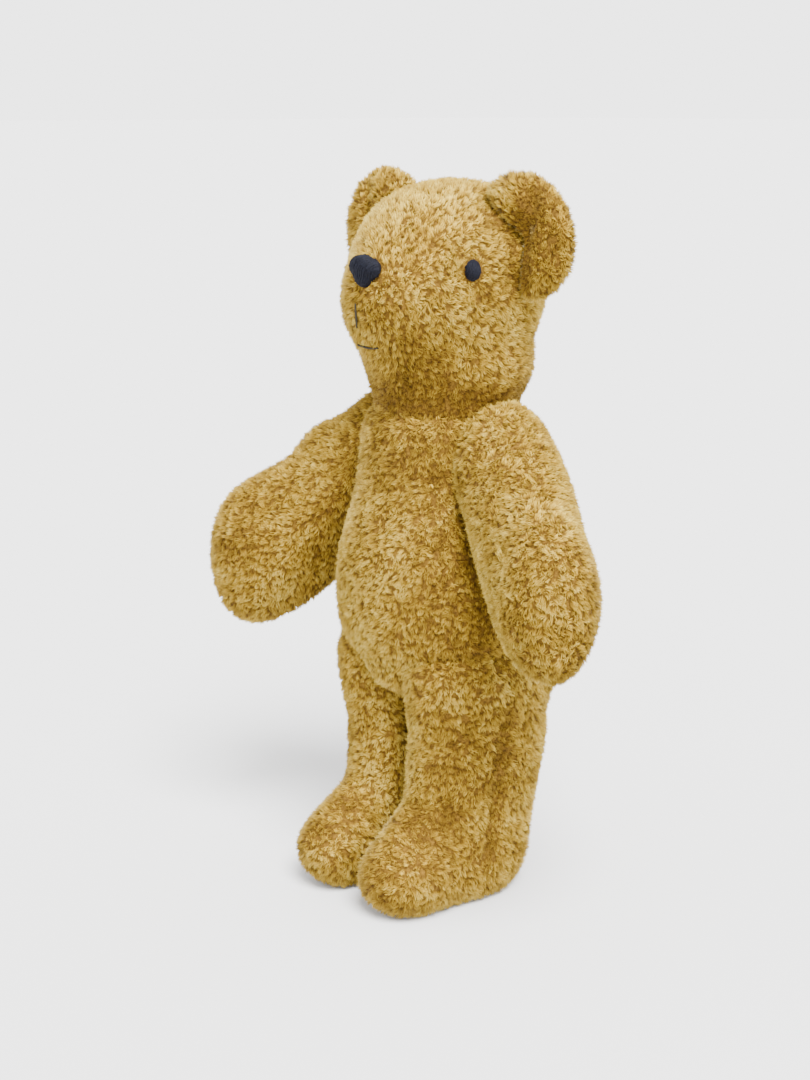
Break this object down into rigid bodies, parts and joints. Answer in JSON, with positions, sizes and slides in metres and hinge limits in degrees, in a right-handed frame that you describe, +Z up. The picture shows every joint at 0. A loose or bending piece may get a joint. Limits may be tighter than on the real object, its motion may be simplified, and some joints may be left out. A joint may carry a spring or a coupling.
{
  "type": "jointed teddy bear",
  "caption": "Standing plush teddy bear whose head, arms and legs turn on friction disc joints, with embroidered eyes, nose and mouth.",
  "frame": {"origin": "centre of the bounding box's base, on the surface that the bear stands on", "axes": "+Z up, the bear faces -Y, and its left side is at +X"},
  "size_m": [0.2094, 0.1019, 0.2847],
  "materials": {
    "plush": "short curly caramel cotton pile",
    "stuffing": "off-white wool filling",
    "fibreboard": "pressed brown fibreboard",
    "steel": "zinc-plated",
    "webbing": "stiff cotton webbing",
    "embroidery": "navy-black cotton yarn, satin stitch",
    "thread": "brown sewing thread"
  },
  "bodies": {
    "torso": {"torso_plush": "plush", "torso_stuffing": "stuffing", "back_closing_seam": "thread", "hip_tab": "webbing", "hip_bolt": "steel", "hip_locknut": "steel", "neck_disc_torso": "fibreboard", "neck_washer_torso": "steel", "shoulder_disc_torso_left": "fibreboard", "shoulder_washer_torso_left": "steel", "shoulder_disc_torso_right": "fibreboard", "shoulder_washer_torso_right": "steel"},
    "head": {"head_plush": "plush", "head_stuffing": "stuffing", "ear_left": "plush", "ear_right": "plush", "eye_left": "embroidery", "eye_right": "embroidery", "nose": "embroidery", "mouth_upright_stitch": "thread", "mouth_cross_stitch": "thread", "neck_disc_head": "fibreboard", "neck_washer_head": "steel", "neck_bolt": "steel", "neck_locknut": "steel"},
    "arm_left": {"arm_left_plush": "plush", "arm_left_stuffing": "stuffing", "shoulder_disc_arm_left": "fibreboard", "shoulder_washer_arm_left": "steel", "shoulder_bolt_left": "steel", "shoulder_locknut_left": "steel"},
    "leg_left": {"leg_left_plush": "plush", "leg_left_stuffing": "stuffing", "sole_left": "plush", "hip_disc_leg_left": "fibreboard", "hip_washer_leg_left": "steel"},
    "arm_right": {"arm_right_plush": "plush", "arm_right_stuffing": "stuffing", "shoulder_disc_arm_right": "fibreboard", "shoulder_washer_arm_right": "steel", "shoulder_bolt_right": "steel", "shoulder_locknut_right": "steel"},
    "leg_right": {"leg_right_plush": "plush", "leg_right_stuffing": "stuffing", "sole_right": "plush", "hip_disc_leg_right": "fibreboard", "hip_washer_leg_right": "steel"}
  },
  "joints": [
    {"name": "neck_turn", "type": "hinge", "parent": "torso", "child": "head", "pos_m": [-0.0051, 0.0086, 0.199], "axis": [0, 0, 1], "range_deg": [-50, 40]},
    {"name": "shoulder_left_swing", "type": "hinge", "parent": "torso", "child": "arm_left", "pos_m": [0.0219, 0.0086, 0.174], "axis": [-1, 0, 0], "range_deg": [-60, 150]},
    {"name": "hip_left_swing", "type": "hinge", "parent": "torso", "child": "leg_left", "pos_m": [-0.0011, 0.0086, 0.068], "axis": [-1, 0, 0], "range_deg": [-40, 70]},
    {"name": "shoulder_right_swing", "type": "hinge", "parent": "torso", "child": "arm_right", "pos_m": [-0.0321, 0.0086, 0.174], "axis": [-1, 0, 0], "range_deg": [-60, 150]},
    {"name": "hip_right_swing", "type": "hinge", "parent": "torso", "child": "leg_right", "pos_m": [-0.0091, 0.0086, 0.068], "axis": [-1, 0, 0], "range_deg": [-40, 70]}
  ]
}
